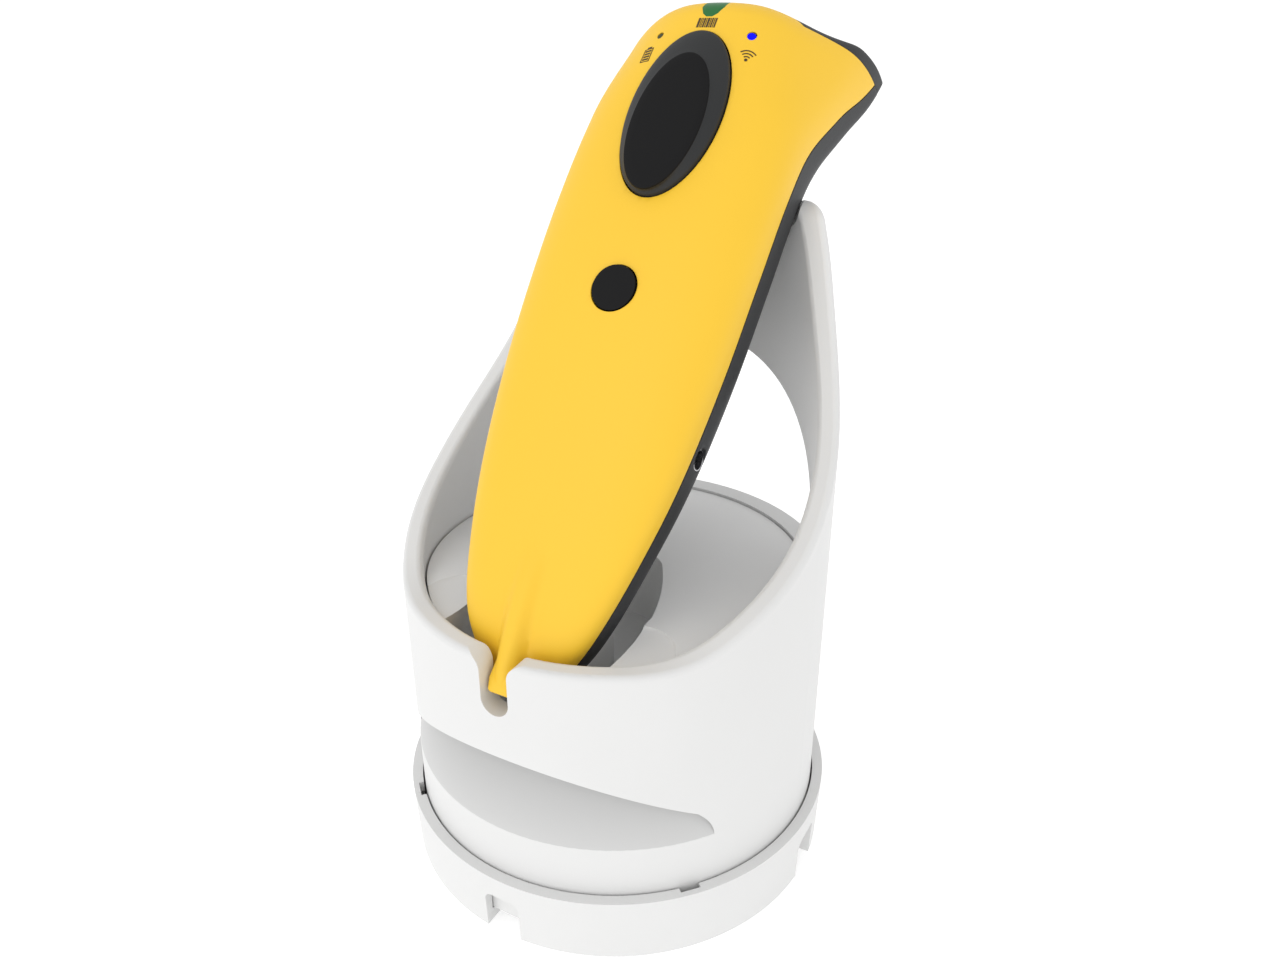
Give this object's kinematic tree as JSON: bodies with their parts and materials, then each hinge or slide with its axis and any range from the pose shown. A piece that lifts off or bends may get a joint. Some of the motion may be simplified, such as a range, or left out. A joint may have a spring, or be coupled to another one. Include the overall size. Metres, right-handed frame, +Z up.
{
  "type": "barcode_scanner",
  "caption": "Cordless handheld barcode scanner standing tail down in a round charging dock with a tall rear wall, an arched window and a notched front rim.",
  "frame": {"origin": "centre of the dock's resting plane", "axes": "+Z up, -Y towards the user in front of the dock, +X to the user's right"},
  "size_m": [0.0868, 0.1102, 0.1589],
  "materials": {
    "dock_white": "satin",
    "dock_grey": "satin",
    "pad_rubber": "matt",
    "shell_yellow": "satin",
    "shell_grey": "satin",
    "button_grey": "satin",
    "button_black": "satin",
    "seal_rubber": "matt",
    "light_green": "gloss",
    "light_olive": "gloss",
    "light_blue": "gloss",
    "window_red": "gloss",
    "lens_glass": "gloss",
    "sheet_steel": "satin",
    "cast_weight": "matt",
    "contact_gold": "polished",
    "jack_metal": "polished",
    "board_green": "satin",
    "part_black": "satin",
    "cell_foil": "satin"
  },
  "bodies": {
    "base": {"base_ring": "dock_white", "base_pads": "pad_rubber"},
    "cup": {"dock_cup": "dock_white", "dock_floor": "dock_grey", "dock_bottom_cover": "dock_grey", "cover_screws": "sheet_steel", "dock_weight": "cast_weight", "dock_board": "board_green", "dock_power_inlet": "part_black", "contact_block": "dock_grey", "contact_springs": "sheet_steel"},
    "pin_left": {"contact_pin_left": "contact_gold"},
    "pin_right": {"contact_pin_right": "contact_gold"},
    "scanner": {"top_shell": "shell_yellow", "bottom_shell": "shell_grey", "window_bezel": "shell_grey", "shell_gasket": "seal_rubber", "shell_screws": "sheet_steel", "scan_window": "window_red", "scan_engine": "part_black", "engine_lens": "lens_glass", "aiming_lamp": "lens_glass", "engine_bracket": "sheet_steel", "scan_light": "light_green", "battery_light": "light_olive", "radio_light": "light_blue", "main_board": "board_green", "button_board": "board_green", "scan_switch": "part_black", "power_switch": "part_black", "battery": "cell_foil", "battery_plug": "part_black", "charge_jack": "jack_metal", "charge_contacts": "contact_gold", "beeper": "part_black", "vibration_motor": "sheet_steel"},
    "scan_key": {"scan_button": "button_grey"},
    "power_key": {"power_button": "button_black"}
  },
  "joints": [
    {"name": "cup_turn", "type": "hinge", "parent": "base", "child": "cup", "pos_m": [0, 0, 0], "axis": [0, 0, 1], "range_deg": [0, 20]},
    {"name": "scanner_lift", "type": "slide", "parent": "cup", "child": "scanner", "axis": [0, 0.5446, 0.8387], "range_m": [0, 0.1]},
    {"name": "pin_left_press", "type": "slide", "parent": "cup", "child": "pin_left", "axis": [0, 0.8387, -0.5446], "range_m": [0, 0.0006], "stiffness_N_per_m": 300, "springref_m": -0.0005, "deforming": ["contact_springs"]},
    {"name": "pin_right_press", "type": "slide", "parent": "cup", "child": "pin_right", "axis": [0, 0.8387, -0.5446], "range_m": [0, 0.0006], "stiffness_N_per_m": 300, "springref_m": -0.0005, "deforming": ["contact_springs"]},
    {"name": "scan_press", "type": "slide", "parent": "scanner", "child": "scan_key", "axis": [0, 0.7638, -0.6455], "range_m": [0, 0.0005], "stiffness_N_per_m": 900, "springref_m": -0.0005},
    {"name": "power_press", "type": "slide", "parent": "scanner", "child": "power_key", "axis": [0, 0.8387, -0.5446], "range_m": [0, 0.0004], "stiffness_N_per_m": 900, "springref_m": -0.0005}
  ]
}
